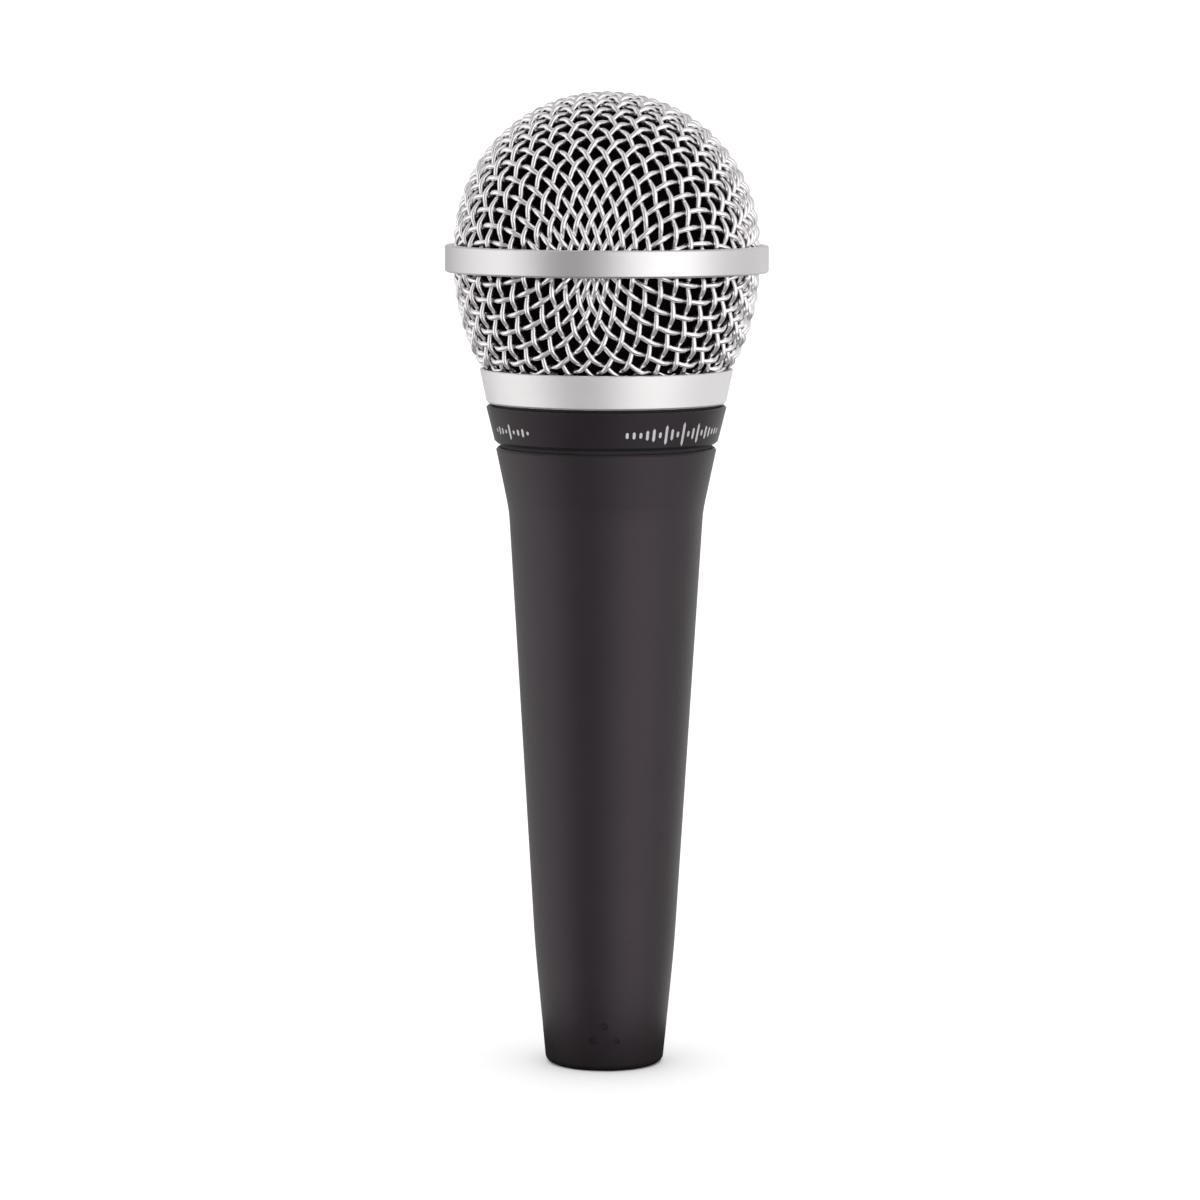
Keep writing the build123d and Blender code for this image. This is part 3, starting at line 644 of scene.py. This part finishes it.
def printed_bar(azimuth, middle, length):
    """A thin upright bar with round ends, lying on the collar."""
    rows = []
    for k in range(BAR_ROWS):
        along = -1 + 2 * k / (BAR_ROWS - 1)
        past_end = max(0.0, (abs(along) - 1) * length / BAR_WIDTH + 1)
        half = BAR_WIDTH / 2 * math.sqrt(1 - past_end**2)
        rows.append((middle + along * length / 2, max(half, BAR_TIP)))
    vertices = []
    for lift in (PRINT_LIFT, PRINT_LIFT - PRINT_THICK):
        for height, half in rows:
            radius = collar_radius(height) + lift
            for side in (-1, 0, 1):
                turn = azimuth + side * half / radius
                vertices.append((radius * math.sin(turn), -radius * math.cos(turn), height))
    faces = []
    layer = 3 * len(rows)
    for row in range(len(rows) - 1):
        for side in (0, 1):
            k = 3 * row + side
            faces.append([k, k + 1, k + 4, k + 3])
            faces.append([layer + k, layer + k + 3, layer + k + 4, layer + k + 1])
        for k, flip in ((3 * row, True), (3 * row + 2, False)):
            quad = [k, k + 3, layer + k + 3, layer + k]
            faces.append(quad[::-1] if not flip else quad)
    for row, flip in ((0, False), (len(rows) - 1, True)):
        for side in (0, 1):
            k = 3 * row + side
            quad = [k, layer + k, layer + k + 1, k + 1]
            faces.append(quad[::-1] if flip else quad)
    return vertices, faces


def print_on_collar():
    """A sound-wave ornament of bars on the right of the collar, and a shorter one on the left."""
    middle = low("handle_collar").z + PRINT_HEIGHT
    for name, centre, count, tallest in PRINTS:
        bars = []
        for k in range(count):
            place = k - (count - 1) / 2
            wave = SWELL_MEAN + SWELL_WAVE * math.cos(SWELL_RATE * place)
            swell = math.cos(math.pi * place / (count + 1)) * wave
            azimuth = math.radians(centre) + place * BAR_PITCH / collar_radius(middle)
            bars.append(printed_bar(azimuth, middle, max(SHORTEST, swell) * tallest * MM))
        vertices, faces = joined(bars)
        add_mesh(name, vertices, faces, PRINT_INK, "handle")


# --- Studio -------------------------------------------------------------------------------------
CAMERA_DISTANCE = 0.780
CAMERA_HEIGHT = 0.166
CAMERA_ASIDE = -0.97 * MM
CAMERA_PITCH = math.radians(6.39)
CAMERA_ROLL = math.radians(0.175)
LENS = 140.0
SENSOR = 36.0


def make_camera():
    """The camera, a little above the grille and looking slightly down on the microphone's back."""
    data = bpy.data.cameras.new("camera")
    data.lens = LENS
    data.sensor_width = SENSOR
    camera = bpy.data.objects.new("camera", data)
    bpy.context.scene.collection.objects.link(camera)
    tilt = Matrix.Rotation(math.pi / 2 - CAMERA_PITCH, 4, "X")
    roll = Matrix.Rotation(CAMERA_ROLL, 4, "Z")
    place = Matrix.Translation((CAMERA_ASIDE, -CAMERA_DISTANCE, CAMERA_HEIGHT))
    camera.matrix_world = place @ tilt @ roll
    bpy.context.scene.camera = camera


WORLD_STRENGTH = 1.3
GROUND_LIGHT = 0.2  # of the sky's
GROUND_END, SKY_START = 0.45, 0.48  # as shares of the way from straight down to straight up
FLOOR_HALF = 25.0
FLOOR_LEVEL = -0.02 * MM
FLAG_RADIUS = 34 * MM
FLAG_LEVEL = -1 * MM
FLAG_SIDES = 64
TENT_SIDES = 96
TENT_RADIUS = 1.5
TENT_BASE = -1.0
TENT_EAVES = 1.2
TENT_TOP = 1.9
# Brightness round the tent's wall: (degrees from the camera's side, positive towards +X, brightness)
TENT_LIGHT = [
    (-180, 0.6),
    (-150, 0.45),
    (-115, 0.85),
    (-75, 1.15),
    (-52, 0.7),
    (-38, 0.34),
    (-14, 0.34),
    (2, 0.65),
    (22, 1.25),
    (40, 1.4),
    (60, 1.35),
    (82, 0.85),
    (110, 0.65),
    (140, 0.75),
    (180, 0.6),
]
# Brightness from the tent's foot up to its peak: (share of its height, factor)
TENT_FALL = [(0.0, 0.4), (0.08, 0.8), (0.16, 1.0), (0.5, 1.0), (0.76, 0.75), (1.0, 0.6)]


def make_world():
    """Even pale light from above the floor, and little from under it."""
    world = bpy.data.worlds.new("studio")
    world.use_nodes = True
    tree = world.node_tree
    background = tree.nodes["Background"]
    background.inputs["Strength"].default_value = WORLD_STRENGTH
    place = tree.nodes.new("ShaderNodeTexCoord")
    axes = tree.nodes.new("ShaderNodeSeparateXYZ")
    tree.links.new(place.outputs["Generated"], axes.inputs["Vector"])
    share = map_range(tree, axes.outputs["Z"], -1, 1)
    sky = ramp(tree, share, [(GROUND_END, (GROUND_LIGHT,) * 3), (SKY_START, (1.0,) * 3)])
    tree.links.new(sky, background.inputs["Color"])
    bpy.context.scene.world = world


def stage_mesh(name, vertices, faces, material):
    """A part of the studio that isn't part of the object."""
    mesh = bpy.data.meshes.new(name)
    mesh.from_pydata(vertices, [], faces)
    mesh.materials.append(material)
    piece = bpy.data.objects.new(name, mesh)
    bpy.context.scene.collection.objects.link(piece)
    return piece


def show_only_in_reflections(piece):
    """Leaves a part of the studio out of the direct view, the soft light and the shadows."""
    piece.visible_camera = False
    piece.visible_diffuse = False
    piece.visible_shadow = False


def tent_glow():
    """A light that changes round the tent as soft boxes and dimmer cards do, and up its height."""
    material = bpy.data.materials.new("tent")
    material.use_nodes = True
    tree = material.node_tree
    tree.nodes.clear()
    place = tree.nodes.new("ShaderNodeTexCoord")
    axes = tree.nodes.new("ShaderNodeSeparateXYZ")
    tree.links.new(place.outputs["Object"], axes.inputs["Vector"])
    backwards = math_node(tree, "MULTIPLY", axes.outputs["Y"], -1)
    turn = math_node(tree, "ARCTAN2", axes.outputs["X"], backwards)
    round_share = map_range(tree, turn, -math.pi, math.pi)
    height_share = map_range(tree, axes.outputs["Z"], TENT_BASE, TENT_TOP)
    brightest = max(level for _, level in TENT_LIGHT)
    stops = [((degrees + 180) / 360, (level / brightest,) * 3) for degrees, level in TENT_LIGHT]
    fall = ramp(tree, height_share, [(share, (factor,) * 3) for share, factor in TENT_FALL])
    glow = tree.nodes.new("ShaderNodeEmission")
    tree.links.new(math_node(tree, "MULTIPLY", fall, brightest), glow.inputs["Strength"])
    tree.links.new(ramp(tree, round_share, stops), glow.inputs["Color"])
    output = tree.nodes.new("ShaderNodeOutputMaterial")
    tree.links.new(glow.outputs["Emission"], output.inputs["Surface"])
    return material


def make_tent():
    """A round wall with a pointed roof about the microphone, lit from within."""
    vertices, faces = [], []
    for k in range(TENT_SIDES):
        turn = 2 * math.pi * k / TENT_SIDES
        for height in (TENT_BASE, TENT_EAVES):
            vertices.append((TENT_RADIUS * math.cos(turn), TENT_RADIUS * math.sin(turn), height))
        after = (k + 1) % TENT_SIDES
        faces.append((2 * k, 2 * k + 1, 2 * after + 1, 2 * after))
        faces.append((2 * k + 1, 2 * TENT_SIDES, 2 * after + 1))
    vertices.append((0, 0, TENT_TOP))
    show_only_in_reflections(stage_mesh("tent", vertices, faces, tent_glow()))


def make_floor():
    """A plain pale floor that reaches the horizon, and isn't seen in reflections."""
    material = finish_of(
        "floor_card", grey(0.94), grey(0.96), (0.7, 0.8), blotch=3, grain=300, relief=0.02
    )
    sides = ((-1, -1), (1, -1), (1, 1), (-1, 1))
    corners = [(x * FLOOR_HALF, y * FLOOR_HALF, FLOOR_LEVEL) for x, y in sides]
    stage_mesh("floor", corners, [(0, 1, 2, 3)], material).visible_glossy = False


def make_flag():
    """A dark card under the floor, seen only as the dark reflection at the handle's end."""
    edge = []
    for k in range(FLAG_SIDES):
        turn = 2 * math.pi * k / FLAG_SIDES
        edge.append((FLAG_RADIUS * math.cos(turn), FLAG_RADIUS * math.sin(turn), FLAG_LEVEL))
    material = finish_of("flag_card", grey(0.004), grey(0.006), (0.9, 1.0), blotch=3, grain=300)
    show_only_in_reflections(stage_mesh("flag", edge, [list(range(FLAG_SIDES))], material))


def make_studio():
    """Floor, soft light, reflected tent and dark card, and plain colour handling."""
    make_floor()
    make_world()
    make_tent()
    make_flag()
    bpy.context.scene.view_settings.view_transform = "Standard"
    bpy.context.scene.view_settings.look = "None"


# --- Build --------------------------------------------------------------------------------------
make_camera()
dress_cad_nodes()
weave("dome", Dome(), DOME_REACH, WIRE, "grille_dome_mesh")
weave("bowl", Bowl(), BOWL_REACH, WIRE, "grille_bowl_mesh")
foam_layer("dome_liner", "dome_foam", dome_liner_rows(), FOAM)
foam_layer("bowl_liner", "bowl_foam", bowl_liner_rows(), FOAM)
print_on_collar()
make_studio()
